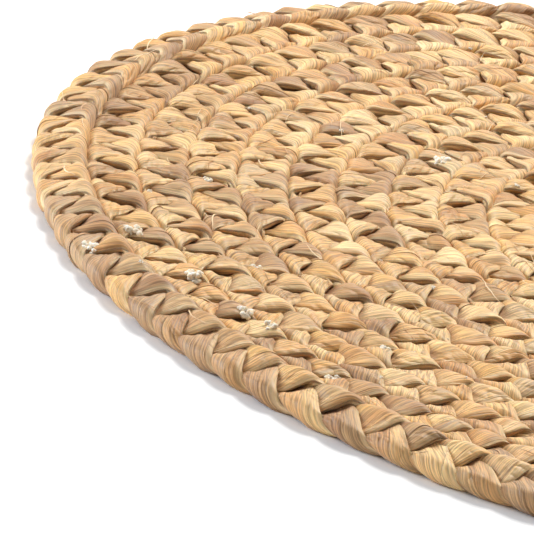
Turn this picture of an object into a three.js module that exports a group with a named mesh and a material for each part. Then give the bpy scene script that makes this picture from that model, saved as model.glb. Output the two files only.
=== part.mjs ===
// Round placemat of plaited water hyacinth: one long flat plait, coiled from the centre outwards and
// sewn edge to edge, so the whole mat is one piece. Millimetres, +Z up. The origin is the middle of the
// underside, and +Z points out of the top face.
import * as THREE from "three";

const fullTurn = 2 * Math.PI;

// Driving dimensions, in millimetres unless the name says otherwise.
const plaitWidth = 12.2; // one turn of the coil to the next
const coilTurns = 15.9; // from the middle of the coil to the tip of the plait's tail
const matThickness = 8; // underside to the crest of the plait
const seamDepth = 2.4; // from a crest down to the seam between two turns
const crestEdges = [0.27, 0.69]; // where the flat crest starts and ends, as shares of the plait's width
const startRadius = 5.5; // the folded start of the plait, at the middle of the mat
const tailAzimuth = THREE.MathUtils.degToRad(20); // direction in which the tail ends
const tailLength = 75; // stretch over which the plait's end tapers away
const rimRadius = 2.4; // how far the rim's shoulder and foot lie inside its widest line
const shoulderHeight = 6.2; // where the rim's rounding meets the top
const rimHeight = 3.4; // height of the rim's widest line
const crossingLength = 12.2; // along the plait, from one strand crossing to the next
const scallopDepth = 0.8; // how far the strands bulge out of the rim at each crossing
const strawColour = 0xd2ac74;

// Fineness of the faceted surface.
const coilStep = 12.2; // between points along the plait
const firstTurnStep = 6; // the same, on the tight first turn
const scallopSteps = 4; // points on each scallop of the rim

// Winding angles along the coil: 0 is the middle, and each full turn is one plait width further out.
const endAngle = coilTurns * fullTurn;
const startAngle = (startRadius / plaitWidth) * fullTurn;
const innerEnd = startAngle + fullTurn; // where the second turn begins
const rimStart = endAngle - fullTurn; // the last turn, whose outer edge is the rim
const tailAngle = tailLength / (coilTurns * plaitWidth);

const lengthAt = (angle) => (plaitWidth * angle * angle) / (2 * fullTurn);
const plainRadius = (angle) => (plaitWidth * angle) / fullTurn;
const between = (from, to, share) => from + (to - from) * share;
const direction = (angle) => tailAzimuth + angle - endAngle;

// Share of the tail's taper at a winding angle: 0 before the tail and 1 at its tip.
const taper = (angle) => THREE.MathUtils.smoothstep(angle, endAngle - tailAngle, endAngle);

// Outer edge of the last turn, which draws in to the turn before it along the tail.
function rimEdge(angle) {
  const crossings = (lengthAt(angle) - lengthAt(rimStart)) / crossingLengthOnRim;
  const scallop = 0.5 * scallopDepth * (Math.cos(crossings * fullTurn) - 1);
  return plainRadius(angle) - plaitWidth * taper(angle) + scallop;
}

// Seam between a turn and the next one out. Under the tail it rises and becomes the rim's shoulder.
function seamPoint(angle) {
  const share = taper(angle + fullTurn);
  return {
    radius: plainRadius(angle) - rimRadius * share,
    height: between(matThickness - seamDepth, shoulderHeight, share),
  };
}

// Winding angles from one end to the other at an even spacing along the plait.
function evenAngles(from, to, count) {
  return Array.from({ length: count + 1 }, (_, k) =>
    Math.sqrt(between(from * from, to * to, k / count)),
  );
}

const stepCount = (from, to, step) => Math.round((lengthAt(to) - lengthAt(from)) / step);
const crossingCount = stepCount(rimStart, endAngle, crossingLength);
const crossingLengthOnRim = (lengthAt(endAngle) - lengthAt(rimStart)) / crossingCount;

// The mesh is built from lines of vertices, each line a list of { index, angle }.
const positions = [];
const triangles = [];

function addVertex(angle, radius, height) {
  const turned = direction(angle);
  positions.push(radius * Math.cos(turned), radius * Math.sin(turned), height);
  return { index: positions.length / 3 - 1, angle };
}

// Fills the strip between two lines with triangles, going round both at the same rate.
function fillStrip(inner, outer) {
  let i = 0;
  let j = 0;
  while (i < inner.length - 1 || j < outer.length - 1) {
    const innerNext = i < inner.length - 1 ? inner[i + 1].angle : Infinity;
    const outerNext = j < outer.length - 1 ? outer[j + 1].angle : Infinity;
    if (innerNext <= outerNext) {
      triangles.push(inner[i].index, outer[j].index, inner[i + 1].index);
      i += 1;
    } else {
      triangles.push(inner[i].index, outer[j].index, outer[j + 1].index);
      j += 1;
    }
  }
}

const closed = (line) => [...line, { index: line[0].index, angle: line[0].angle + fullTurn }];

// Seam between the turns: one line from the start of the coil to where the rim begins.
function addSeam() {
  const firstTurn = evenAngles(startAngle, innerEnd, stepCount(startAngle, innerEnd, firstTurnStep));
  const others = evenAngles(innerEnd, rimStart, stepCount(innerEnd, rimStart, coilStep)).slice(1);
  const line = [...firstTurn, ...others].map((angle) => {
    const { radius, height } = seamPoint(angle);
    return addVertex(angle, radius, height);
  });
  return { line, firstTurnSteps: firstTurn.length - 1 };
}

// One edge of the plait's flat crest, at a share of the way across the plait. It runs from the second
// turn on, and sinks to the height of the rim's shoulder along the tail.
function addCrestEdge(widthShare) {
  const inner = evenAngles(innerEnd, rimStart, stepCount(innerEnd, rimStart, coilStep));
  const last = evenAngles(rimStart, endAngle, crossingCount).slice(1, -1);
  return [...inner, ...last].map((angle) => {
    const taperShare = taper(angle);
    const inside = seamPoint(angle - fullTurn).radius;
    const outside = plainRadius(angle) - (plaitWidth + rimRadius) * taperShare;
    const height = between(matThickness, shoulderHeight, taperShare);
    return addVertex(angle, between(inside, outside, widthShare), height);
  });
}

// A row round the rim, set in from its widest line. The shoulder row starts on the seam's last vertex.
function addRimRow(inset, height, firstVertex) {
  const angles = evenAngles(rimStart, endAngle, crossingCount * scallopSteps).slice(0, -1);
  return angles.map((angle, k) =>
    k === 0 && firstVertex ? firstVertex : addVertex(angle, rimEdge(angle) - inset, height),
  );
}

// The middle of the coil: a low dome inside the first turn, closed on the ray where the second turn
// sets off from the first.
function fillMiddle(seam, crests) {
  const dome = addVertex(startAngle, 0, matThickness - seamDepth / 2);
  const turn = seam.line.slice(0, seam.firstTurnSteps + 1);
  const beforeLast = turn[turn.length - 2].index;
  for (let k = 0; k < turn.length - 2; k += 1) {
    triangles.push(dome.index, turn[k].index, turn[k + 1].index);
  }
  triangles.push(dome.index, beforeLast, turn[0].index);
  const ray = [turn[0], ...crests.map((edge) => edge[0]), turn[turn.length - 1]];
  for (let k = 0; k < ray.length - 1; k += 1) {
    triangles.push(beforeLast, ray[k + 1].index, ray[k].index);
  }
}

function plaitCoil() {
  const seam = addSeam();
  const crests = crestEdges.map(addCrestEdge);
  const tailTip = seam.line[seam.line.length - 1];
  fillMiddle(seam, crests);

  // Top of the plait, from the seam inside each turn, over its crest, to the seam or rim outside it.
  const shoulder = addRimRow(rimRadius, shoulderHeight, tailTip);
  const seamInside = seam.line.map(({ index, angle }) => ({ index, angle: angle + fullTurn }));
  const edgeOutside = [...seam.line.slice(seam.firstTurnSteps), ...closed(shoulder).slice(1)];
  const acrossPlait = [seamInside, ...crests, edgeOutside];
  for (let k = 0; k < acrossPlait.length - 1; k += 1) {
    fillStrip(acrossPlait[k], acrossPlait[k + 1]);
  }
  triangles.push(...crests.map((edge) => edge[edge.length - 1].index), tailTip.index);

  const widest = addRimRow(0, rimHeight);
  const foot = addRimRow(rimRadius, 0);
  fillStrip(closed(shoulder), closed(widest));
  fillStrip(closed(widest), closed(foot));
  fillStrip(closed(foot), [addVertex(endAngle, 0, 0)]);

  const geometry = new THREE.BufferGeometry();
  geometry.setAttribute("position", new THREE.Float32BufferAttribute(positions, 3));
  geometry.setIndex(triangles);
  // The coil's middle is a little off the middle of its outline, which is the origin.
  geometry.computeBoundingBox();
  const middle = geometry.boundingBox.getCenter(new THREE.Vector3());
  geometry.translate(-middle.x, -middle.y, 0);
  geometry.computeVertexNormals();
  const straw = new THREE.MeshStandardMaterial({ color: strawColour, roughness: 0.75, metalness: 0 });
  const mesh = new THREE.Mesh(geometry, straw);
  mesh.name = "plait_coil";
  return mesh;
}

const placemat = new THREE.Group();
placemat.name = "placemat";
placemat.add(plaitCoil());

export default placemat;
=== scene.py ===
# Round placemat of plaited water hyacinth leaf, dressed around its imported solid.
# Three strands of folded leaf run the whole length of one plait, which is coiled flat from the middle.
import math
import bpy
import numpy as np
from mathutils import Matrix, Vector


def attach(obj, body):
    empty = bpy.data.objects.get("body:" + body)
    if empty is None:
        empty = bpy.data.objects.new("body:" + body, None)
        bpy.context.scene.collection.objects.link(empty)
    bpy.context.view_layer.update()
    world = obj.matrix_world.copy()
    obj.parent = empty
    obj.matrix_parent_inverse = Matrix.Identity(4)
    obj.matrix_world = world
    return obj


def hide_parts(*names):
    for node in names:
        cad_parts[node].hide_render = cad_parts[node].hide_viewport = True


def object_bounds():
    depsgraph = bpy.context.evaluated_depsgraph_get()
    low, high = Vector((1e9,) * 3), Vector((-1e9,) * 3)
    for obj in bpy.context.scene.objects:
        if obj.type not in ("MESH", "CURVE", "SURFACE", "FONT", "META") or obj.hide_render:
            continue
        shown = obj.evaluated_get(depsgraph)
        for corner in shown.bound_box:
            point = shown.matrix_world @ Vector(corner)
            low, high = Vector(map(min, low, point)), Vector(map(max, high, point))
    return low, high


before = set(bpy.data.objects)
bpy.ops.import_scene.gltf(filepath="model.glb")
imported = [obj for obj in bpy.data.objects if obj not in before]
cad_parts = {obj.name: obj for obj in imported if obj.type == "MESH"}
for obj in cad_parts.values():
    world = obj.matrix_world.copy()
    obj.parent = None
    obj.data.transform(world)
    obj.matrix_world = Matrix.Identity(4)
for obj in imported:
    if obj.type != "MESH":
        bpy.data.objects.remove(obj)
cadLow, cadHigh = [Vector(corner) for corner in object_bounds()]
scene = bpy.context.scene
mm = 0.001
fullTurn = 2 * math.pi
print("frame loaded", [round(v, 4) for v in cadLow], [round(v, 4) for v in cadHigh])


# An object of its own in the scene, for a mesh, a camera or a light.
def newObject(name, data):
    thing = bpy.data.objects.new(name, data)
    scene.collection.objects.link(thing)
    return thing


# coil

coil = {
    "turns": 15.9,                      # from the middle to the tip of the tail
    "tailAzimuth": math.radians(20),    # where the tail ends
    "tailLength": 75 * mm,              # stretch over which the plait tapers away
    "startTurns": 0.60,                 # where the plait's folded start lies
    "startLength": 9 * mm,              # stretch over which the start tapers
    "tailThinning": 0.72,               # how much of the plait's size has gone at the tip
    "startThinning": 0.35,
    "rimRoll": math.radians(17),        # how far the outermost turn leans outwards
}

# The frame's width spans the rim at azimuth 0 and 180 degrees, which fixes the width of one turn.
boxWidth = cadHigh.x - cadLow.x
tailShare = coil["tailAzimuth"] / fullTurn
plaitWidth = boxWidth / (2 * coil["turns"] - 2 * tailShare - 0.5)
plaitHeight = cadHigh.z - cadLow.z
coilMiddle = Vector((
    cadLow.x + plaitWidth * (coil["turns"] - tailShare - 0.5),
    cadLow.y + plaitWidth * (coil["turns"] - tailShare - 0.25),
    cadLow.z,
))
print("plait width", round(plaitWidth / mm, 2), "mm, height", round(plaitHeight / mm, 2), "mm")

# camera

view = {
    "aside": -10.42 * plaitWidth,       # far away, so rows keep their width into the depth
    "back": -148.81 * plaitWidth,
    "above": 51.36 * plaitWidth,        # above the crests
    "lookDown": math.radians(19.8),
    "roll": math.radians(11.0),
    "lens": 539.3,
    "farthest": 10,
}
cameraData = bpy.data.cameras.new("camera")
cameraData.lens = view["lens"]
cameraData.clip_end = view["farthest"]
camera = newObject("camera", cameraData)
place = coilMiddle + Vector((view["aside"], view["back"], view["above"] + plaitHeight))
look = Matrix.Rotation(math.pi / 2 - view["lookDown"], 4, "X") @ Matrix.Rotation(view["roll"], 4, "Z")
camera.matrix_world = Matrix.Translation(place) @ look
scene.camera = camera
print("camera placed", [round(v, 3) for v in place])

# plait path

plait = {
    "crossing": 0.942,        # along the plait from one crossing to the next, in plait widths
    "halfSpan": 0.432,        # sideways swing of a strand's middle, in plait widths
    "halfDepth": 0.22,        # its swing up and down, in plait heights
    # how fast a strand goes along the plait at each part of its way, in degrees from the middle
    "pace": [(0, 0.86), (30, 0.75), (60, 0.55), (90, 0.7), (105, 1.7), (120, 2.3), (135, 1.8), (150, 0.8),
             (165, 0.35), (180, 0.3), (205, 0.25), (225, 0.4), (250, 1.1), (270, 1.9), (290, 2.2),
             (305, 1.7), (320, 0.9), (340, 0.8), (360, 0.86)],
    "paceBlend": 17,          # degrees that the pace is smoothed over
    "overlap": 1.20,          # width of a strand over the room that it has
    "tailSpread": 0.3,        # how much of that width goes with the plait's size
    "squash": (1.20, 0.90),   # smaller flattens the swing up and down: outermost turn, inner turns
    "twist": 2.0,             # how far the leading edge is up and the trailing edge down at the middle
    "shingle": 0.08,          # lift of the leading edge elsewhere
    "stationsFine": 44,       # stations in one period of a strand, on the side seen from close by
    "stationsCoarse": 20,
    "fineSide": -55 * mm,     # that side ends here, from the coil's middle
    "fineBlend": 10 * mm,
    "closest": 6 * mm,        # the rows' bend counts as no tighter than this near the middle
    "leanBlend": 0.5,         # how long the outermost turn takes to lean over, in radians
    "splits": (-0.35, 0.4),   # where its three leaves meet, in half widths
    "newTone": 0.8,           # how often a strand's tone changes where it is hidden
    "newTint": 0.45,          # and the tint of one of its leaves
    "browner": 1.8,           # power that makes the outermost turn browner than the rest
    "cutPhase": 2.5,          # where a strand is split into its inside and rim pieces
    "seed": 11,
}
period = 3 * plait["crossing"] * plaitWidth

# Unevenness along a strand: how much, and over how many metres it changes once.
uneven = {
    "crossings": (0.12, 0.03),           # closer in some places than in others
    "along": (0.07 * plaitWidth, 0.012),
    "swing": (0.11, 0.012),
    "depth": (0.28, 0.010),
    "spread": (0.18, 0.011),
    "roll": (0.11, 0.013),
    "turn": (0.12, 0.016),
    "firstSplit": (0.7, 0.015),          # where the leaves of a strand meet, in half widths
    "secondSplit": (0.6, 0.015),
    "lift": (0.17 * mm, 0.013),
}
calm = 0.35                              # share of most of these on the outermost turn
calmTurns = 0.8                          # from here inwards they grow, over one turn
samples = {"winding": 40000, "stations": 20000, "crossings": 4000}    # lengths of the tables


# From 0 to 1 with a gentle start and end.
def eased(share):
    return share * share * (3 - 2 * share)


# Smooth unevenness at increasing distances along the plait.
def wander(rng, distance, key):
    amount, step = uneven[key]
    knots = rng.uniform(-1, 1, int(plaitLength * 1.2 / step) + 4)    # some more than it needs
    at = np.clip(distance / step, 0, len(knots) - 2.001)
    k = at.astype(int)
    share = eased(at - k)
    return amount * (knots[k] * (1 - share) + knots[k + 1] * share)


# Table from distance along the plait's middle line to winding angle.
windStart = coil["startTurns"] * fullTurn
windEnd = coil["turns"] * fullTurn
windTable = np.linspace(windStart, windEnd + 0.3, samples["winding"])    # a little past the tail's tip
radiusTable = plaitWidth * (windTable / fullTurn - 0.5)
stepTable = np.hypot(np.gradient(radiusTable), radiusTable * np.gradient(windTable))
distanceTable = np.cumsum(stepTable) - stepTable[0]
plaitLength = float(np.interp(windEnd, windTable, distanceTable))
print("plait length", round(plaitLength, 2), "m")


def column(values):
    return np.asarray(values)[:, None]


# Vectors that lie flat.
def flat(x, y):
    return np.stack([x, y, np.zeros_like(x)], 1)


# Middle line, travel and outward directions, taper and winding at distances along the plait.
def coilFrame(distance):
    wind = np.interp(distance, distanceTable, windTable)
    tail = np.clip((distance - (plaitLength - coil["tailLength"])) / coil["tailLength"], 0, 1)
    start = np.clip(1 - distance / coil["startLength"], 0, 1)
    taper = 1 - eased(tail) * coil["tailThinning"]
    radius = plaitWidth * (wind / fullTurn - 1 + 0.5 * taper)
    azimuth = coil["tailAzimuth"] + wind - windEnd
    radial = flat(np.cos(azimuth), np.sin(azimuth))
    around = flat(-np.sin(azimuth), np.cos(azimuth))
    middle = np.array(coilMiddle) + radial * column(radius)
    ahead = radial * plaitWidth / fullTurn + around * column(radius)
    ahead /= column(np.linalg.norm(ahead, axis=1))
    outward = flat(ahead[:, 1], -ahead[:, 0])
    return middle, ahead, outward, taper * (1 - coil["startThinning"] * start ** 2), wind


# A random value for each leaf of a strand; leaves start and end where the plait hides them.
def leafRuns(rng, phase, often):
    bend = np.floor((phase - plait["cutPhase"]) / math.pi).astype(int) - int(phase[0] / math.pi) + 2
    change = rng.uniform(0, 1, bend.max() + 1) < often
    values = rng.uniform(0, 1, bend.max() + 1)
    return values[np.maximum.accumulate(np.where(change, np.arange(len(change)), 0))[bend]]


# 0 on the outermost turn, 1 from the third turn inwards, between them on the second.
def inwardness(distance):
    wind = np.interp(distance, distanceTable, windTable)
    return np.clip((windEnd - wind) / fullTurn - calmTurns, 0, 1)


# How far a strand is ahead of an even pace, as a phase; both halves of its way are equally long.
def swingAlong(phase):
    degrees = np.arange(361.0)
    paces = np.interp(degrees, *zip(*plait["pace"]))
    paces[:180] *= 180 / paces[:180].sum()
    paces[180:] *= 180 / paces[180:360].sum()
    ahead = np.concatenate([[0], np.cumsum(paces[:360] - 1)])
    blend = np.hanning(plait["paceBlend"])
    smooth = np.convolve(np.tile(ahead[:360], 3), blend / blend.sum(), "same")[360:721]
    return np.radians(np.interp(np.degrees(phase) % 360, degrees, smooth))


# The first station after a phase where the strand is on the underside.
def hiddenStation(phase, after):
    place = (phase - plait["cutPhase"]) % fullTurn
    return int(np.nonzero((phase > after) & (place < fullTurn / plait["stationsCoarse"]))[0][0])


# Stations of one strand: its place, directions, and what the leaves on it need.
def strandRail(index):
    rng = np.random.default_rng(plait["seed"] + index)
    shared = np.random.default_rng(plait["seed"] + 100)
    # more stations where the plait is seen from close by
    coarse = np.linspace(0, plaitLength, samples["stations"])
    onSide = coilFrame(coarse)[0][:, 0] - coilMiddle.x - plait["fineSide"]
    onSide = np.clip(0.5 - onSide / plait["fineBlend"], 0, 1)
    density = plait["stationsCoarse"] + (plait["stationsFine"] - plait["stationsCoarse"]) * onSide
    stationTable = np.cumsum(density) * (coarse[1] - coarse[0]) / period
    count = int(stationTable[-1])
    phase = np.interp(np.linspace(0, stationTable[-1], count), stationTable, coarse) / period * fullTurn
    phase = phase + index * fullTurn / 3
    inner = inwardness(phase / fullTurn * period)
    wild = calm + (1 - calm) * inner
    squash = plait["squash"][0] + (plait["squash"][1] - plait["squash"][0]) * inner
    nominal = (phase - index * fullTurn / 3 + swingAlong(phase)) * period / fullTurn
    nominal = np.clip(nominal, 0, plaitLength)
    # crossings are closer in some places than in others, for all the strands alike
    grid = np.linspace(0, plaitLength, samples["crossings"])
    drift = np.cumsum(wander(shared, grid, "crossings")) * (grid[1] - grid[0])
    drift -= grid / plaitLength * drift[-1]
    distance = np.interp(nominal, grid, grid + drift)
    distance += wild * wander(rng, distance, "along")
    distance = np.maximum.accumulate(np.clip(distance, 0, plaitLength))
    middle, ahead, outward, taper, wind = coilFrame(distance)
    halfSpan = plait["halfSpan"] * plaitWidth * taper * (1 + wild * wander(rng, distance, "swing"))
    halfDepth = plait["halfDepth"] * plaitHeight * taper * (1 + wild * wander(rng, distance, "depth"))
    # the last full turn leans outwards
    blend = plait["leanBlend"]
    lean = coil["rimRoll"] * np.clip((wind - (windEnd - fullTurn) + blend / 2) / blend, 0, 1)
    up = np.array([0, 0, 1.0])
    sideways = outward * column(np.cos(lean)) - up * column(np.sin(lean))
    rise = outward * column(np.sin(lean)) + up * column(np.cos(lean))
    station = middle + up * column(plaitHeight / 2 * taper) + sideways * column(halfSpan * np.sin(phase))
    reach = np.concatenate([[0], np.cumsum(np.linalg.norm(np.diff(station, axis=0), axis=1))])
    spread = 0.5 * plait["crossing"] * plaitWidth * plait["overlap"]
    spread = spread * (1 - plait["tailSpread"] * (1 - taper)) * (1 + wild * wander(rng, distance, "spread"))
    roll = wild * wander(rng, distance, "roll")
    tone = leafRuns(rng, phase, plait["newTone"])
    toMiddle = (np.array(coilMiddle) - station) * np.array([1, 1, 0])
    away = np.maximum(np.linalg.norm(toMiddle, axis=1), plait["closest"])
    rail = {
        "station": station, "side": ahead, "sideways": sideways, "rise": rise,
        "inward": toMiddle / column(away) / column(2 * away),
        "cut": hiddenStation(phase, phase[len(phase) // 2]),
        "floats": {
            "phase": phase, "halfSpan": halfSpan, "halfDepth": halfDepth, "spread": spread,
            "reach": reach, "taper": taper, "wild": wild, "squash": squash,
            "roll": roll,
            # some leaves lie flatter than others, most of all on the inner turns
            "turn": 1 - wild * (uneven["turn"][0] - wander(shared, distance, "turn")),
            # the rim is browner than the rest
            "tone": tone ** (1 + plait["browner"] * (1 - wild)),
        },
    }
    floats = rail["floats"]
    for face in ("Top", "Under"):
        floats["firstSplit" + face] = plait["splits"][0] + wander(rng, distance, "firstSplit")
        floats["secondSplit" + face] = plait["splits"][1] + wander(rng, distance, "secondSplit")
        for leafIndex in range(3):
            floats["lift%d%s" % (leafIndex, face)] = wander(rng, distance, "lift")
            floats["tint%d%s" % (leafIndex, face)] = leafRuns(rng, phase, plait["newTint"])
    return rail


# Stores a number on every point of a mesh.
def storeNumbers(mesh, name, numbers):
    attribute = mesh.attributes.new(name, "FLOAT", "POINT")
    attribute.data.foreach_set("value", np.asarray(numbers, np.float32))


# Part of a rail, from its first to its last station, as a line of mesh edges.
def railObject(name, rail, first, last):
    mesh = bpy.data.meshes.new(name)
    count = last - first + 1
    edges = np.stack([np.arange(count - 1), np.arange(1, count)], 1)
    mesh.from_pydata(rail["station"][first:last + 1].tolist(), edges.tolist(), [])
    for key, numbers in rail["floats"].items():
        storeNumbers(mesh, key, numbers[first:last + 1])
    for key in ("station", "side", "sideways", "rise", "inward"):
        attribute = mesh.attributes.new(key, "FLOAT_VECTOR", "POINT")
        attribute.data.foreach_set("vector", rail[key][first:last + 1].astype(np.float32).ravel())
    return newObject(name, mesh)


section = {"within": (0.0, 0.5, 1.0), "hump": (0.0, 1.0, 0.0)}


# Closed outline of a strand: three leaves side by side on each face.
def sectionObject():
    rows = []
    for face in (1, -1):
        for leafIndex in range(3):
            for within, hump in zip(section["within"], section["hump"]):
                rows.append((face, leafIndex, within, hump))
    mesh = bpy.data.meshes.new("section")
    count = len(rows)
    angle = np.arange(count) / count * fullTurn
    points = flat(np.cos(angle), np.sin(angle))
    mesh.from_pydata(points.tolist(), [(k, (k + 1) % count) for k in range(count)], [])
    for key, numbers in zip(("faceSign", "leafIndex", "within", "hump"), zip(*rows)):
        storeNumbers(mesh, key, numbers)
    return newObject("section", mesh)


# strand tree

# Short calls for adding and wiring nodes in a tree.
class Nodes:
    def __init__(self, tree):
        self.tree = tree

    def add(self, kind, **settings):
        node = self.tree.nodes.new(kind)
        for key, value in settings.items():
            setattr(node, key, value)
        return node

    def wire(self, value, socket):
        if isinstance(value, bpy.types.NodeSocket):
            self.tree.links.new(value, socket)
        elif value is not None:
            socket.default_value = value

    # Adds a node and wires or sets its inputs by name.
    def fed(self, kind, inputs, **settings):
        node = self.add(kind, **settings)
        for name, value in inputs.items():
            self.wire(value, node.inputs[name])
        return node.outputs

    def math(self, operation, a, b=None):
        node = self.add("ShaderNodeMath", operation=operation)
        self.wire(a, node.inputs[0])
        self.wire(b, node.inputs[1])
        return node.outputs[0]

    def plus(self, *terms):
        total = terms[0]
        for term in terms[1:]:
            total = self.math("ADD", total, term)
        return total

    def times(self, *terms):
        total = terms[0]
        for term in terms[1:]:
            total = self.math("MULTIPLY", total, term)
        return total

    def minus(self, a, b):
        return self.math("SUBTRACT", a, b)

    def over(self, a, b):
        return self.math("DIVIDE", a, b)

    # Low where the factor is 0, high where it is 1.
    def pick(self, factor, low, high):
        node = self.add("ShaderNodeMix", data_type="FLOAT")
        self.wire(factor, node.inputs["Factor"])
        self.wire(low, node.inputs[2])
        self.wire(high, node.inputs[3])
        return node.outputs[0]

    def scaled(self, vector, factor):
        inputs = {"Vector": vector, "Scale": factor}
        return self.fed("ShaderNodeVectorMath", inputs, operation="SCALE")["Vector"]

    def joined(self, a, b):
        node = self.add("ShaderNodeVectorMath", operation="ADD")
        self.wire(a, node.inputs[0])
        self.wire(b, node.inputs[1])
        return node.outputs["Vector"]

    def triple(self, x, y, z):
        node = self.add("ShaderNodeCombineXYZ")
        for value, socket in zip((x, y, z), node.inputs):
            self.wire(value, socket)
        return node.outputs[0]

    # What a mesh carries under a name.
    def named(self, name, kind="FLOAT"):
        return self.fed("GeometryNodeInputNamedAttribute", {"Name": name}, data_type=kind)["Attribute"]

    # The same in a material.
    def attribute(self, name):
        return self.add("ShaderNodeAttribute", attribute_name=name).outputs["Fac"]

    def noise(self, vector, scale, detail, dimensions="3D"):
        inputs = {"Vector": vector, "Scale": scale, "Detail": detail}
        return self.fed("ShaderNodeTexNoise", inputs, noise_dimensions=dimensions)

    # A random number or vector for each element.
    def random(self, low, high, seed, kind="FLOAT"):
        node = self.add("FunctionNodeRandomValue", data_type=kind)
        first = 2 if kind == "FLOAT" else 0
        self.wire(low, node.inputs[first])
        self.wire(high, node.inputs[first + 1])
        self.wire(seed, node.inputs["Seed"])
        return node.outputs[first // 2]

    def position(self):
        return self.add("GeometryNodeInputPosition").outputs[0]

    def store(self, geometry, name, value, kind="FLOAT", domain="POINT"):
        inputs = {"Geometry": geometry, "Name": name, "Value": value}
        return self.fed("GeometryNodeStoreNamedAttribute", inputs, data_type=kind, domain=domain)[0]

    def solid(self, instances):
        return self.fed("GeometryNodeRealizeInstances", {"Geometry": instances})[0]

    def moved(self, geometry, offset):
        return self.fed("GeometryNodeSetPosition", {"Geometry": geometry, "Offset": offset})[0]

    # The last node of a geometry tree.
    def finish(self, geometry, material, result):
        painted = self.fed("GeometryNodeSetMaterial", {"Geometry": geometry, "Material": material})
        self.wire(painted[0], result["Geometry"])


def addSockets(tree, inputs, outputs):
    for direction, sockets in (("INPUT", inputs), ("OUTPUT", outputs)):
        for name, kind in sockets.items():
            tree.interface.new_socket(name, in_out=direction, socket_type="NodeSocket" + kind)


# A geometry tree with named inputs; gives the tree, its nodes, its inputs and its result.
def geometryTree(name, inputs):
    tree = bpy.data.node_groups.new(name, "GeometryNodeTree")
    addSockets(tree, inputs, {"Geometry": "Geometry"})
    n = Nodes(tree)
    return tree, n, n.add("NodeGroupInput").outputs, n.add("NodeGroupOutput").inputs


strand = {
    "Half width": 4.5 * mm,
    "Half thickness": 1.05 * mm,
    "Edge share": 0.26,           # thickness at a strand's two edges, over that in between
    "Crown": 0.35 * mm,
    "Arch": 0.98 * mm,            # how far its leading edge bends towards the plait's inside
    "Trailing arch": 0.5 * mm,
    "Filling": 1.5 * mm,          # extra thickness towards the plait's inside
    "Leaf hump": 0.14 * mm,
    "Leaf lap": 0.02,             # how far a leaf laps over the next one, in half widths
    "Pleat depth": 0.8 * mm,
    "Pucker depth": 1.1 * mm,
    "Warp depth": 0.7 * mm,
    "Twist": plait["twist"],
    "Pinch": 0.7,                 # how much thinner a strand is where it crosses at the middle
    "Shingle": plait["shingle"],
    "Fibre slant": 0.22,
    "Seed": 0.0,
}
# Noises of the strands' shape: places a metre along, places across half the width, detail.
folds = {"pleat": (42.0, 3.0, 2.0), "pucker": (210.0, 1.6, 1.0), "warp": (160.0, 1.2, 0.0)}
leafEnds = {
    "first": (-0.9, 0.75),        # limits of where the first and second leaf meet
    "second": (0.12, 0.92),       # least width of the second leaf, and limit of the next meeting
    "edgeLift": 0.25,             # share of a leaf's lift at the strand's edges
    "edgeFrom": 0.97,             # a strand's own edge starts here, in half widths
    "fillLean": (1.2, 1.1),       # extra filling where a strand crosses: even, and towards its lead
    "archTurn": 0.7,
    "archEase": 0.25,
}


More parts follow.
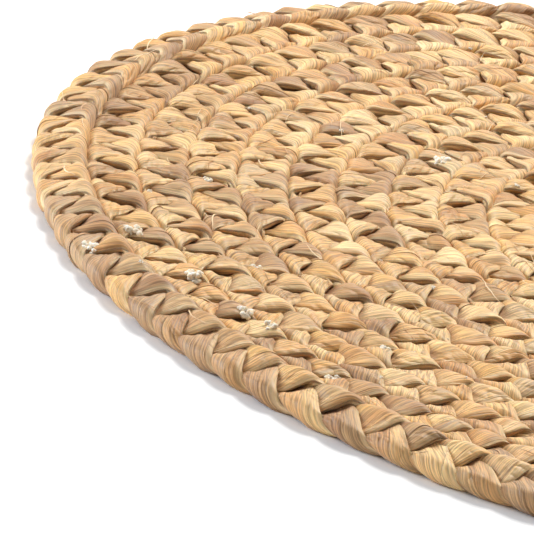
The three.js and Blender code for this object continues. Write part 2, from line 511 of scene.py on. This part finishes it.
def strandTree():
    inputs = {"Geometry": "Geometry", "Section": "Object", "Material": "Material"}
    inputs.update(dict.fromkeys(strand, "Float"))
    tree, n, source, result = geometryTree("plaited strand", inputs)
    railCurve = n.fed("GeometryNodeMeshToCurve", {"Mesh": source["Geometry"]})
    outline = n.fed("GeometryNodeObjectInfo", {"Object": source["Section"]})["Geometry"]
    profile = n.fed("GeometryNodeMeshToCurve", {"Mesh": outline})
    inputs = {"Curve": railCurve["Curve"], "Profile Curve": profile["Curve"], "Fill Caps": True}
    sweep = n.fed("GeometryNodeCurveToMesh", inputs)
    outwards = n.fed("GeometryNodeFlipFaces", {"Mesh": sweep["Mesh"]})

    # where on the strand's outline a point is: which face, which leaf, and how far across
    faceSign = n.named("faceSign")
    leafIndex = n.named("leafIndex")
    isTop = n.math("GREATER_THAN", faceSign, 0.0)
    isSecond = n.math("GREATER_THAN", leafIndex, 0.5)
    isThird = n.math("GREATER_THAN", leafIndex, 1.5)

    def faced(name):
        return n.pick(isTop, n.named(name + "Under"), n.named(name + "Top"))

    def ofLeaf(name):
        values = [faced(name % k) for k in range(3)]
        return n.pick(isThird, n.pick(isSecond, values[0], values[1]), values[2])

    least, most = leafEnds["first"]
    first = n.math("MINIMUM", n.math("MAXIMUM", faced("firstSplit"), least), most)
    least, most = leafEnds["second"]
    second = n.math("MINIMUM", n.math("MAXIMUM", faced("secondSplit"), n.plus(first, least)), most)

    # where two leaves meet, the higher one laps over the lower one
    def lapped(meeting, leaf, nextLeaf):
        step = n.math("SIGN", n.minus(faced(leaf), faced(nextLeaf)))
        ends = [n.math(limit, step, 0.0) for limit in ("MINIMUM", "MAXIMUM")]
        return [n.plus(meeting, n.times(source["Leaf lap"], end)) for end in ends]

    lowFirst, highFirst = lapped(first, "lift0", "lift1")
    lowSecond, highSecond = lapped(second, "lift1", "lift2")
    low = n.pick(isThird, n.pick(isSecond, -1.0, lowFirst), lowSecond)
    high = n.pick(isThird, n.pick(isSecond, highFirst, highSecond), 1.0)
    across = n.pick(n.named("within"), low, high)
    # the underside is gone round backwards, so it is mirrored
    across = n.times(across, faceSign)

    # at the middle of the plait a strand's leading edge is up and its trailing edge down
    phase = n.named("phase")
    cosine = n.math("COSINE", phase)
    sine = n.math("SINE", phase)
    halfDepth = n.named("halfDepth")
    double = n.times(2.0, phase)
    turned = n.times(source["Twist"], n.named("turn"), across)
    level = n.plus(n.math("SINE", double), n.times(turned, cosine, cosine))
    levelPace = n.minus(n.times(2.0, n.math("COSINE", double)), n.times(turned, n.math("SINE", double)))
    squashed = n.times(n.named("squash"), n.named("squash"))
    root = n.math("SQRT", n.plus(n.times(level, level), squashed))
    gain = n.math("SQRT", n.plus(1.0, squashed))
    swing = n.over(n.times(halfDepth, gain, level), root)
    steepness = n.over(n.times(halfDepth, gain, squashed, levelPace), n.times(root, root, root))
    run = n.times(n.named("halfSpan"), cosine)
    length = n.math("SQRT", n.plus(n.times(run, run), n.times(steepness, steepness)))
    faceOut = n.over(n.times(steepness, -1.0), length)
    faceUp = n.over(run, length)

    # thickness, with leaves on slightly different levels and lengthwise pleats
    spread = n.named("spread")
    u = n.times(across, spread)
    bulge = n.minus(1.0, n.times(across, across, across, across))
    hump = n.named("hump")
    lift = n.times(ofLeaf("lift%d"), n.pick(bulge, leafEnds["edgeLift"], 1.0))

    def folded(key, shift, depth):
        lengthwise, crosswise, detail = folds[key]
        place = n.triple(n.times(n.named("reach"), lengthwise), n.times(across, crosswise),
                         n.plus(source["Seed"], shift))
        return n.times(n.minus(n.noise(place, 1.0, detail)[0], 0.5), source[depth])

    # the two faces are pleated apart from each other and warped together
    pleat = folded("pleat", n.times(faceSign, 5.0), "Pleat depth")
    pucker = n.times(folded("pucker", n.times(faceSign, 3.0), "Pucker depth"), n.named("wild"))
    pleat = n.times(n.plus(pleat, pucker), bulge)
    warp = n.times(folded("warp", 20.0, "Warp depth"), n.named("wild"))
    thick = n.times(source["Half thickness"], n.pick(bulge, source["Edge share"], 1.0))
    full = n.minus(1.0, n.times(source["Pinch"], cosine, cosine, bulge))
    crown = n.times(source["Crown"], n.minus(1.0, n.times(across, across)))
    height = n.times(n.plus(thick, crown, lift, pleat, n.times(hump, source["Leaf hump"])), full)
    inside = n.math("MAXIMUM", n.times(faceSign, sine, -1.0), 0.0)
    below = n.math("MAXIMUM", n.times(faceSign, cosine, -1.0), 0.0)
    evenly, towardsLead = leafEnds["fillLean"]
    filled = n.times(below, below, below, n.plus(evenly, n.times(towardsLead, across)))
    height = n.plus(height, n.times(source["Filling"], n.plus(inside, filled), bulge))
    height = n.times(height, faceSign, n.named("taper"))
    height = n.plus(height, n.times(u, n.plus(n.times(source["Shingle"], sine), n.named("roll"))), warp)
    outerSide = n.math("SINE", n.plus(phase, n.times(leafEnds["archTurn"], across, cosine, cosine)))
    eased = n.math("SQRT", n.plus(n.times(outerSide, outerSide), leafEnds["archEase"]))
    outerSide = n.over(outerSide, eased)
    isLeading = n.math("GREATER_THAN", across, 0.0)
    arch = n.pick(isLeading, source["Trailing arch"], source["Arch"])
    height = n.minus(height, n.times(arch, outerSide, across, across, n.named("taper")))

    offsets = {
        "side": u, "inward": n.times(u, u),
        "sideways": n.times(height, faceOut), "rise": n.plus(swing, n.times(height, faceUp)),
    }
    at = n.named("station", "FLOAT_VECTOR")
    for direction, offset in offsets.items():
        at = n.joined(at, n.scaled(n.named(direction, "FLOAT_VECTOR"), offset))
    # pressed flat where it lies on the table
    split = n.fed("ShaderNodeSeparateXYZ", {"Vector": at})
    pressed = n.triple(split["X"], split["Y"], n.math("MAXIMUM", split["Z"], 0.0))
    shape = n.fed("GeometryNodeSetPosition", {"Geometry": outwards["Mesh"], "Position": pressed})[0]

    tint = ofLeaf("tint%d")
    shape = n.store(shape, "tint", tint, "FLOAT", "FACE")
    shape = n.store(shape, "bandTone", n.named("tone"), "FLOAT", "FACE")
    # how close to a leaf's edge, and how deep in the plait; the leaf material paints shade from these
    between = n.math("LESS_THAN", n.math("ABSOLUTE", across), leafEnds["edgeFrom"])
    shape = n.store(shape, "leafEdge", n.times(n.minus(1.0, hump), between))
    raised = n.math("MINIMUM", n.over(n.math("ABSOLUTE", swing), halfDepth), 1.0)
    shape = n.store(shape, "tucked", n.times(n.minus(1.0, n.times(raised, raised)), cosine, cosine))
    shape = n.store(shape, "acrossStrand", across)
    # fibres of each leaf run at a slightly different slant
    slant = n.times(n.minus(tint, 0.5), source["Fibre slant"], n.named("reach"))
    alongLeaf = n.triple(n.named("reach"), n.plus(n.times(across, source["Half width"]), slant), 0.0)
    shape = n.store(shape, "UVMap", alongLeaf, "FLOAT2", "CORNER")
    shape = n.fed("GeometryNodeSetShadeSmooth", {"Geometry": shape})[0]
    isEdge = n.times(n.math("LESS_THAN", hump, 0.1), between)
    inputs = {"Geometry": shape, "Selection": isEdge, "Shade Smooth": False}
    shape = n.fed("GeometryNodeSetShadeSmooth", inputs, domain="EDGE")[0]
    n.finish(n.solid(shape), source["Material"], result)
    return tree


def socketId(tree, name):
    for item in tree.interface.items_tree:
        if item.name == name and item.in_out == "INPUT":
            return item.identifier
    raise KeyError(name)


# Runs a node tree on an object and returns its result as a plain mesh object of its own.
def applyTree(thing, tree, values, name):
    modifier = thing.modifiers.new("nodes", "NODES")
    modifier.node_group = tree
    for key, value in values.items():
        modifier[socketId(tree, key)] = tuple(value) if isinstance(value, Vector) else value
    graph = bpy.context.evaluated_depsgraph_get()
    mesh = bpy.data.meshes.new_from_object(thing.evaluated_get(graph), depsgraph=graph)
    thing.modifiers.remove(modifier)
    mesh.name = name
    return newObject(name, mesh)


# materials

def newMaterial(name):
    material = bpy.data.materials.new(name)
    material.use_nodes = True
    material.node_tree.nodes.clear()
    n = Nodes(material.node_tree)
    out = n.add("ShaderNodeOutputMaterial")
    shader = n.add("ShaderNodeBsdfPrincipled")
    n.wire(shader.outputs[0], out.inputs["Surface"])
    return material, n, shader


# How much light goes into the surface, how far each colour of it goes, and the depth of that.
def translucent(n, shader, *values):
    for name, value in zip(("Weight", "Radius", "Scale"), values):
        n.wire(value, shader.inputs["Subsurface " + name])


# Gives a surface bumps as high as the height times the metres.
def relief(n, shader, height, metres):
    bump = n.fed("ShaderNodeBump", {"Distance": metres, "Height": height})
    n.wire(bump[0], shader.inputs["Normal"])


# Noises of a dried leaf: places a metre along, places a metre across, detail, shift.
fibreNoise = {
    "fine": (120, 3300, 3.0, 0.0),
    "broad": (90, 1500, 1.0, 3.1),
    "crease": (20, 650, 0.3, 7.7),
    "creasePlace": (60, 300, 1.0, 1.3),
    "crumple": (190, 210, 1.5, 5.9),
    "crumplePlace": (50, 90, 0.0, 9.4),
    "pleat": (80, 800, 1.0, 4.4),
    "patch": (55, 160, 2.0, 2.2),
}
fineShare = 0.84
# Width of the crease lines, where creases and crumples start and are full, and the crumples' sharpness.
fibreLines = {"crease": 0.035, "creasePlace": (0.42, 0.58), "crumplePlace": (0.42, 0.62), "crumple": 3.0}


# Noise drawn out along the fibres, from leaf coordinates in metres.
def stretchedNoise(n, vector, key):
    along, across, detail, shift = fibreNoise[key]
    inputs = {"Vector": vector, "Location": (shift, shift, 0), "Scale": (along, across, 1)}
    return n.noise(n.fed("ShaderNodeMapping", inputs)[0], 1.0, detail, "2D")[0]


def ranged(n, value, fromLow, fromHigh, toLow=0.0, toHigh=1.0):
    limits = {"From Min": fromLow, "From Max": fromHigh, "To Min": toLow, "To Max": toHigh}
    return n.fed("ShaderNodeMapRange", {"Value": value, **limits})[0]


# 1 on thin lines where a noise passes its middle value, 0 elsewhere.
def thinLines(n, value, width):
    return ranged(n, n.math("ABSOLUTE", n.minus(value, 0.5)), 0.0, width, 1.0, 0.0)


# Fibres, lengthwise creases, crumpled folds, pleats and patches of a dried leaf.
def fibreGroup():
    tree = bpy.data.node_groups.new("leaf fibres", "ShaderNodeTree")
    addSockets(tree, {"Vector": "Vector"},
               dict.fromkeys(("Fibre", "Crease", "Crumple", "Pleat", "Patch"), "Float"))
    n = Nodes(tree)
    vector = n.add("NodeGroupInput").outputs["Vector"]
    out = n.add("NodeGroupOutput").inputs
    fine = stretchedNoise(n, vector, "fine")
    broad = stretchedNoise(n, vector, "broad")
    n.wire(n.plus(n.times(fine, fineShare), n.times(broad, 1 - fineShare)), out["Fibre"])
    creaseLine = thinLines(n, stretchedNoise(n, vector, "crease"), fibreLines["crease"])
    creasePlace = ranged(n, stretchedNoise(n, vector, "creasePlace"), *fibreLines["creasePlace"])
    n.wire(n.times(creaseLine, creasePlace), out["Crease"])
    crumple = n.math("ABSOLUTE", n.minus(n.times(stretchedNoise(n, vector, "crumple"), 2.0), 1.0))
    crumple = n.math("MINIMUM", n.times(crumple, fibreLines["crumple"]), 1.0)
    crumplePlace = ranged(n, stretchedNoise(n, vector, "crumplePlace"), *fibreLines["crumplePlace"])
    n.wire(n.times(crumple, crumplePlace), out["Crumple"])
    n.wire(stretchedNoise(n, vector, "pleat"), out["Pleat"])
    n.wire(stretchedNoise(n, vector, "patch"), out["Patch"])
    return tree


def blended(n, kind, factor, first, second):
    node = n.add("ShaderNodeMix", data_type="RGBA", blend_type=kind)
    n.wire(factor, node.inputs["Factor"])
    n.wire(first, node.inputs[6])
    n.wire(second, node.inputs[7])
    return node.outputs[2]


leafLook = {
    "tints": [
        (0.00, (0.73, 0.400, 0.128)), (0.14, (0.79, 0.465, 0.170)), (0.28, (0.68, 0.360, 0.120)),
        (0.40, (0.84, 0.550, 0.235)), (0.52, (0.72, 0.390, 0.140)), (0.62, (0.76, 0.430, 0.140)),
        (0.74, (0.66, 0.360, 0.135)), (0.82, (0.78, 0.455, 0.175)), (0.92, (0.55, 0.315, 0.128)),
        (0.96, (0.62, 0.410, 0.200)),
    ],
    "pale": (0.91, 0.65, 0.33, 1),
    "brown": (0.42, 0.235, 0.110, 1),
    # painted highlight on curled leading edges
    "paintedLipLight": (0.94, 0.72, 0.41, 1),
    # painted shade: the colour of the dark lines in creases and where two leaves meet
    "crease": (0.19, 0.078, 0.026, 1),
    # painted shade deep in the plait and where a strand comes out from under its neighbours
    "tucked": (0.30, 0.13, 0.045, 1),
    # a value's range, and what that comes to
    "browning": (0.0, 0.33, 0.85, 0.0),
    "paling": (0.65, 1.0, 0.0, 0.7),
    "palePatch": (0.50, 0.72, 0.0, 0.2),
    "darkPatch": (0.46, 0.30, 0.0, 0.45),
    "fibreShade": (0.40, 0.61, 0.62, 1.17),
    "pleatShade": (0.3, 0.7, -0.03, 0.03),
    "paintedEdgeShade": (0.88, 1.0, 0.0, 0.25),
    "tuckedPlace": (0.25, 1.0),
    "trailingPlace": (-0.4, -0.9),
    "paintedLipPlace": (0.70, 0.92),
    "paintedLipPatch": (0.50, 0.66),
    "paintedLipTint": 0.3,
    "rough": (0.3, 0.7, 0.45, 0.68),
    "darkPatchColour": (0.72, 0.55, 0.42, 1),
    "creaseShade": 0.35,
    "darkestLine": 0.9,
    "tuckedShade": 0.85,
    "paintedLipStrength": 0.5,
    "fibreRelief": 0.19 * mm,
    "pleatRelief": 0.26 * mm,
    "creaseRelief": 0.08 * mm,
    "crumpleRelief": 0.45 * mm,
    "shine": {"Specular IOR Level": 0.4, "Sheen Weight": 0.1, "Sheen Roughness": 0.5},
    "translucent": (0.25, (1.0, 0.45, 0.2), 1.2 * mm),
}


def leafMaterial(fibres):
    material, n, shader = newMaterial("dried leaf")
    tint = n.attribute("tint")
    edge = n.attribute("leafEdge")
    tucked = n.attribute("tucked")
    tone = n.attribute("bandTone")
    group = n.add("ShaderNodeGroup", node_tree=fibres)
    n.wire(n.add("ShaderNodeUVMap", uv_map="UVMap").outputs[0], group.inputs["Vector"])
    fibre, crease, crumple, pleat, patch = group.outputs
    ramp = n.add("ShaderNodeValToRGB")
    ramp.color_ramp.interpolation = "CONSTANT"
    for k, (place, colour) in enumerate(leafLook["tints"]):
        stop = ramp.color_ramp.elements[k] if k < 2 else ramp.color_ramp.elements.new(place)
        stop.position = place
        stop.color = (*colour, 1)
    n.wire(tint, ramp.inputs[0])
    colour = ramp.outputs[0]
    changes = ((tone, "browning", "brown"), (tone, "paling", "pale"), (patch, "palePatch", "pale"))
    for value, place, paint in changes:
        colour = blended(n, "MIX", ranged(n, value, *leafLook[place]), colour, leafLook[paint])
    dark = ranged(n, patch, *leafLook["darkPatch"])
    colour = blended(n, "MULTIPLY", dark, colour, leafLook["darkPatchColour"])
    shade = n.plus(ranged(n, fibre, *leafLook["fibreShade"]), ranged(n, pleat, *leafLook["pleatShade"]))
    colour = blended(n, "MULTIPLY", 1.0, colour, n.triple(shade, shade, shade))
    # painted shade: dark lines along the creases and where two leaves meet
    paintedEdgeShade = ranged(n, edge, *leafLook["paintedEdgeShade"])
    lines = n.plus(n.times(crease, leafLook["creaseShade"]), paintedEdgeShade)
    lines = n.math("MINIMUM", lines, leafLook["darkestLine"])
    colour = blended(n, "MIX", lines, colour, leafLook["crease"])
    # painted shade where it comes out from under its neighbours and deep in the plait
    acrossStrand = n.attribute("acrossStrand")
    paintedTrailShade = ranged(n, acrossStrand, *leafLook["trailingPlace"])
    paintedTuckShade = n.math("MAXIMUM", ranged(n, tucked, *leafLook["tuckedPlace"]), paintedTrailShade)
    colour = blended(n, "MIX", n.times(paintedTuckShade, leafLook["tuckedShade"]), colour, leafLook["tucked"])
    # and paler along its curled leading edge: a painted highlight
    paintedLipChance = n.plus(patch, n.times(tint, leafLook["paintedLipTint"]))
    paintedLipChance = ranged(n, paintedLipChance, *leafLook["paintedLipPatch"])
    paintedLipLight = n.times(ranged(n, acrossStrand, *leafLook["paintedLipPlace"]), paintedLipChance)
    colour = blended(n, "MIX", n.times(paintedLipLight, leafLook["paintedLipStrength"]), colour, leafLook["paintedLipLight"])
    n.wire(colour, shader.inputs["Base Color"])
    height = n.plus(n.times(fibre, leafLook["fibreRelief"]), n.times(pleat, leafLook["pleatRelief"]),
                    n.times(crumple, leafLook["crumpleRelief"]))
    height = n.minus(height, n.times(crease, leafLook["creaseRelief"]))
    relief(n, shader, height, 1.0)
    n.wire(ranged(n, fibre, *leafLook["rough"]), shader.inputs["Roughness"])
    for name, value in leafLook["shine"].items():
        n.wire(value, shader.inputs[name])
    translucent(n, shader, *leafLook["translucent"])
    return material


fibres = fibreGroup()
leaf = leafMaterial(fibres)
print("leaf material built")

# strands

seedStep, seedStart = 3.7, 1.0
tree = strandTree()
outline = sectionObject()
pieces = []
for k, name in enumerate(("strand_one", "strand_two", "strand_three")):
    rail = strandRail(k)
    for part, first, last in (("inside", 0, rail["cut"]), ("rim", rail["cut"], len(rail["station"]) - 1)):
        line = railObject("rail", rail, first, last)
        values = dict(strand, Section=outline, Seed=k * seedStep + seedStart, Material=leaf)
        piece = applyTree(line, tree, values, name + "_" + part)
        bpy.data.objects.remove(line)
        pieces.append(piece)
        piece.data.calc_loop_triangles()
        print(piece.name, len(piece.data.loop_triangles), "triangles")
bpy.data.objects.remove(outline)

# loose fibres and tufts of pith

strands = bpy.data.collections.new("strands")
scene.collection.children.link(strands)
for piece in pieces:
    strands.objects.link(piece)

fibreScatter = {
    "Amount": 3500.0,          # per square metre
    "Deepest": 0.45,           # none further down in the plait than this
    "Spin": math.radians(28),
    "Unevenness": 1.2 * mm,
    "Seed": 4,
}
fibreSizes = ((0.45, 0.5, 0.7), (1.35, 1.3, 1.2))
blade = {
    "length": 10 * mm,
    "halfWidth": 0.13 * mm,
    "stations": 9,
    "bend": 0.8 * mm,
    "height": 0.3 * mm,
    "dip": 0.7 * mm,           # how far the ends lie below the middle
    "ridge": 0.8,
    "slimmest": 0.02,
    "clear": 0.4 * mm,         # nothing of the plait lies higher than this over a fibre
    "facesUp": 0.5,            # least upward part of the surface under it
    "bends": 260.0,            # places a metre where it bends another way
}


# One loose fibre, a slim bent splinter whose ends dip into the plait.
def bladeObject():
    stations = blade["stations"]
    points, faces = [], []
    for k in range(stations):
        s = k / (stations - 1) * 2 - 1
        side = blade["halfWidth"] * math.sqrt(max(1 - s * s, blade["slimmest"]))
        x, y, z = s * blade["length"] / 2, blade["bend"] * s * s, blade["height"] - blade["dip"] * s * s
        points += [(x, y - side, z), (x, y + side, z), (x, y, z + blade["ridge"] * side)]
        if k:
            for a in range(3):
                low, high = 3 * (k - 1) + a, 3 * (k - 1) + (a + 1) % 3
                faces.append((low, high, high + 3, low + 3))
    faces += [(2, 1, 0), (3 * stations - 3, 3 * stations - 2, 3 * stations - 1)]
    mesh = bpy.data.meshes.new("blade")
    mesh.from_pydata(points, [], faces)
    return newObject("blade", mesh)


# All the strands as one geometry.
def gathered(n, collection):
    return n.solid(n.fed("GeometryNodeCollectionInfo", {"Collection": collection})[0])


# A ray from some way above each point, up or down, at the strands.
def rayAt(n, solid, above, direction):
    start = n.joined(n.position(), n.triple(0.0, 0.0, above))
    inputs = {"Target Geometry": solid, "Source Position": start, "Ray Direction": (0, 0, direction)}
    return n.fed("GeometryNodeRaycast", inputs, data_type="FLOAT")


def scatterTree():
    tree, n, source, result = geometryTree("loose fibres", {
        "Geometry": "Geometry", "Strands": "Collection", "Blade": "Object", "Middle": "Vector",
        "Amount": "Float", "Deepest": "Float", "Spin": "Float", "Unevenness": "Float",
        "Seed": "Int", "Material": "Material",
    })
    solid = gathered(n, source["Strands"])
    normal = n.add("GeometryNodeInputNormal").outputs[0]
    upwards = n.fed("ShaderNodeSeparateXYZ", {"Vector": normal})["Z"]
    facesUp = n.math("GREATER_THAN", upwards, blade["facesUp"])
    shallow = n.math("LESS_THAN", n.named("tucked"), source["Deepest"])
    spots = n.fed("GeometryNodeDistributePointsOnFaces", {
        "Mesh": solid, "Selection": n.times(shallow, facesUp),
        "Density": source["Amount"], "Seed": source["Seed"],
    })
    facing = n.store(spots["Points"], "surface", spots["Normal"], "FLOAT_VECTOR")
    inputs = {"Geometry": facing, "Selection": rayAt(n, solid, blade["clear"], 1)["Is Hit"]}
    exposed = n.fed("GeometryNodeDeleteGeometry", inputs, domain="POINT")[0]
    # each fibre lies roughly along its row
    outward = n.joined(n.position(), n.scaled(source["Middle"], -1.0))
    place = n.fed("ShaderNodeSeparateXYZ", {"Vector": outward})
    travel = n.triple(n.times(place["Y"], -1.0), place["X"], 0.0)
    surface = n.named("surface", "FLOAT_VECTOR")
    upright = n.fed("FunctionNodeAlignRotationToVector", {"Vector": surface}, axis="Z")
    inputs = {"Rotation": upright[0], "Vector": travel}
    along = n.fed("FunctionNodeAlignRotationToVector", inputs, axis="X", pivot_axis="Z")
    spin = n.random(n.times(source["Spin"], -1.0), source["Spin"], source["Seed"])
    inputs = {"Rotation": along[0], "Rotate By": n.triple(0.0, 0.0, spin)}
    turned = n.fed("FunctionNodeRotateRotation", inputs, rotation_space="LOCAL")
    copies = n.fed("GeometryNodeInstanceOnPoints", {
        "Points": exposed, "Rotation": turned[0], "Scale": n.random(*fibreSizes, 5, "FLOAT_VECTOR"),
        "Instance": n.fed("GeometryNodeObjectInfo", {"Object": source["Blade"]})["Geometry"],
    })
    tinted = n.store(copies[0], "tint", n.random(0.0, 1.0, 9), "FLOAT", "INSTANCE")
    bend = n.joined(n.noise(n.position(), blade["bends"], 0.0)["Color"], n.triple(-0.5, -0.5, -0.5))
    bent = n.moved(n.solid(tinted), n.scaled(bend, source["Unevenness"]))
    n.finish(bent, source["Material"], result)
    return tree


tuftSpots = [
    # turns, azimuth in degrees, size
    (15.62, -155.5, 1.6), (14.60, -158.0, 1.6), (14.22, -148.9, 1.6), (14.07, -141.3, 1.4),
    (14.06, -138.2, 1.1), (14.33, -129.4, 1.2), (12.54, -151.8, 1.0), (8.35, 163.1, 1.3),
    (12.53, -172.7, 0.8), (12.30, -132.1, 0.8),
]
crumbs = {"count": 46, "turns": (2, 15.2), "azimuth": (-180, 180), "size": (0.22, 0.5), "seed": 41}
tuftScatter = {"Lobes": 20, "Reach": 1.2 * mm, "Lobe size": 0.62 * mm, "Unevenness": 0.8 * mm, "Seed": 2}
tuftShape = {
    "scatter": ((-1, -1, -0.5), (1, 1, 0.3)),
    "stretch": ((0.5, 0.5, 0.4), (1.3, 1.0, 0.8)),
    "turn": ((-0.4, -0.4, 0), (0.4, 0.4, 6.28)),
    "lumps": 1300.0,
    "drop": 0.05,
}


# A point for each tuft: the large ones at their places, and small crumbs of pith all over.
def spotObject():
    rng = np.random.default_rng(crumbs["seed"])
    spots = list(tuftSpots)
    for k in range(crumbs["count"]):
        spots.append([rng.uniform(*crumbs[key]) for key in ("turns", "azimuth", "size")])
    points = []
    for turns, azimuth, size in spots:
        back = (coil["tailAzimuth"] - math.radians(azimuth)) % fullTurn / fullTurn
        radius = plaitWidth * (turns - back)
        aim = np.array([math.cos(math.radians(azimuth)), math.sin(math.radians(azimuth)), 0])
        points.append(np.array(coilMiddle) + radius * aim)
    mesh = bpy.data.meshes.new("tuft spots")
    mesh.from_pydata([tuple(point) for point in points], [], [])
    storeNumbers(mesh, "size", [spot[2] for spot in spots])
    return newObject("tuft spots", mesh)


def tuftTree():
    tree, n, source, result = geometryTree("pith tufts", {
        "Geometry": "Geometry", "Strands": "Collection", "Reach": "Float", "Lobe size": "Float",
        "Unevenness": "Float", "Lobes": "Int", "Seed": "Int", "Material": "Material",
    })
    # every spot drops onto the plait under it
    drop = rayAt(n, gathered(n, source["Strands"]), tuftShape["drop"], -1)
    inputs = {"Geometry": source["Geometry"], "Position": drop["Hit Position"]}
    landed = n.fed("GeometryNodeSetPosition", inputs)[0]
    inputs = {"Geometry": landed, "Amount": source["Lobes"]}
    many = n.fed("GeometryNodeDuplicateElements", inputs, domain="POINT")
    size = n.named("size")
    scatter = n.random(*tuftShape["scatter"], source["Seed"], "FLOAT_VECTOR")
    stretch = n.random(*tuftShape["stretch"], 3, "FLOAT_VECTOR")
    lobes = n.fed("GeometryNodeInstanceOnPoints", {
        "Points": n.moved(many["Geometry"], n.scaled(scatter, n.times(source["Reach"], size))),
        "Instance": n.fed("GeometryNodeMeshIcoSphere", {"Radius": 1.0, "Subdivisions": 2})["Mesh"],
        "Rotation": n.random(*tuftShape["turn"], 8, "FLOAT_VECTOR"),
        "Scale": n.scaled(stretch, n.times(source["Lobe size"], size)),
    })
    lumps = n.noise(n.position(), tuftShape["lumps"], 1.0)[0]
    push = n.times(n.minus(lumps, 0.5), source["Unevenness"])
    lumpy = n.moved(n.solid(lobes[0]), n.scaled(n.add("GeometryNodeInputNormal").outputs[0], push))
    smooth = n.fed("GeometryNodeSetShadeSmooth", {"Geometry": lumpy})
    n.finish(smooth[0], source["Material"], result)
    return tree


smallLook = {
    "fibrePale": (0.90, 0.70, 0.42, 1),
    "fibreBrown": (0.62, 0.36, 0.16, 1),
    "fibrePatch": (0.7, 0.55, 0.4, 1),
    "fibreBrowning": (0.2, 0.9),
    "fibrePatchPlace": (0.4, 0.7, 0.0, 0.4),
    "fibreRoughness": 0.6,
    "pith": (0.93, 0.86, 0.74, 1),
    "pithPaintedShade": (0.80, 0.62, 0.40, 1),
    "pithLumps": (1400.0, 3.0),
    "pithRaised": (0.35, 0.6),
    "pithRelief": 0.4 * mm,
    "pithRoughness": 0.9,
    "pithTranslucent": (0.3, (1.0, 0.7, 0.5), 0.8 * mm),
}


# Loose fibres: straw to brown, darker in patches.
def looseMaterial(fibres):
    material, n, shader = newMaterial("loose fibre")
    tint = n.attribute("tint")
    group = n.add("ShaderNodeGroup", node_tree=fibres)
    n.wire(n.add("ShaderNodeTexCoord").outputs["Object"], group.inputs["Vector"])
    browner = ranged(n, tint, *smallLook["fibreBrowning"])
    colour = blended(n, "MIX", browner, smallLook["fibrePale"], smallLook["fibreBrown"])
    patchy = ranged(n, group.outputs["Patch"], *smallLook["fibrePatchPlace"])
    colour = blended(n, "MULTIPLY", patchy, colour, smallLook["fibrePatch"])
    n.wire(colour, shader.inputs["Base Color"])
    n.wire(smallLook["fibreRoughness"], shader.inputs["Roughness"])
    return material


# Torn white pith, with painted shade in its hollows, which are darker and yellower.
def pithMaterial():
    material, n, shader = newMaterial("pith")
    lumps = n.noise(n.add("ShaderNodeTexCoord").outputs["Object"], *smallLook["pithLumps"])[0]
    raised = ranged(n, lumps, *smallLook["pithRaised"])
    # painted shade where the lumps are low
    colour = blended(n, "MIX", raised, smallLook["pithPaintedShade"], smallLook["pith"])
    n.wire(colour, shader.inputs["Base Color"])
    relief(n, shader, lumps, smallLook["pithRelief"])
    n.wire(smallLook["pithRoughness"], shader.inputs["Roughness"])
    translucent(n, shader, *smallLook["pithTranslucent"])
    return material


oneBlade = bladeObject()
spots = spotObject()
values = dict(fibreScatter, Strands=strands, Blade=oneBlade, Middle=coilMiddle)
values["Material"] = looseMaterial(fibres)
looseFibres = applyTree(spots, scatterTree(), values, "loose_fibres")
values = dict(tuftScatter, Strands=strands, Material=pithMaterial())
tufts = applyTree(spots, tuftTree(), values, "pith_tufts")
for extra in (looseFibres, tufts):
    extra.data.calc_loop_triangles()
    print(extra.name, len(extra.data.loop_triangles), "triangles")
    pieces.append(extra)
bpy.data.objects.remove(oneBlade)
bpy.data.objects.remove(spots)

for piece in pieces:
    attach(piece, "root")
    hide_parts("plait_coil")

# stage

stage = {"size": 4.0, "colour": (0.94, 0.94, 0.94, 1), "roughness": 0.9, "world": 0.43}
floorMesh = bpy.data.meshes.new("floor")
half = stage["size"] / 2
corners = [(-half, -half, 0), (half, -half, 0), (half, half, 0), (-half, half, 0)]
floorMesh.from_pydata(corners, [], [(0, 1, 2, 3)])
floor = newObject("floor", floorMesh)
floorMaterial, n, shader = newMaterial("floor")
n.wire(stage["colour"], shader.inputs["Base Color"])
n.wire(stage["roughness"], shader.inputs["Roughness"])
floorMesh.materials.append(floorMaterial)

world = bpy.data.worlds.new("studio")
scene.world = world
world.use_nodes = True
background = world.node_tree.nodes["Background"]
background.inputs["Color"].default_value = (1, 1, 1, 1)
background.inputs["Strength"].default_value = stage["world"]
scene.view_settings.view_transform = "Standard"


# Each light's place, power in watts, size and colour; all of them shine at the origin.
lights = {
    "key": ((0.25, 0.95, 1.25), 30, 0.62, (1, 0.965, 0.92)),
    "fill": ((-0.6, -1.2, 0.9), 0.7, 0.9, (1, 0.98, 0.96)),
    "side": ((-1.3, 0.1, 0.26), 18, 0.6, (0.76, 0.86, 1)),
}
for name, (place, power, size, colour) in lights.items():
    data = bpy.data.lights.new(name, "AREA")
    data.energy = power
    data.size = size
    data.color = colour
    light = newObject(name, data)
    light.location = place
    light.rotation_euler = (-Vector(place)).to_track_quat("-Z", "Y").to_euler()
print("stage and", len(lights), "lights set")
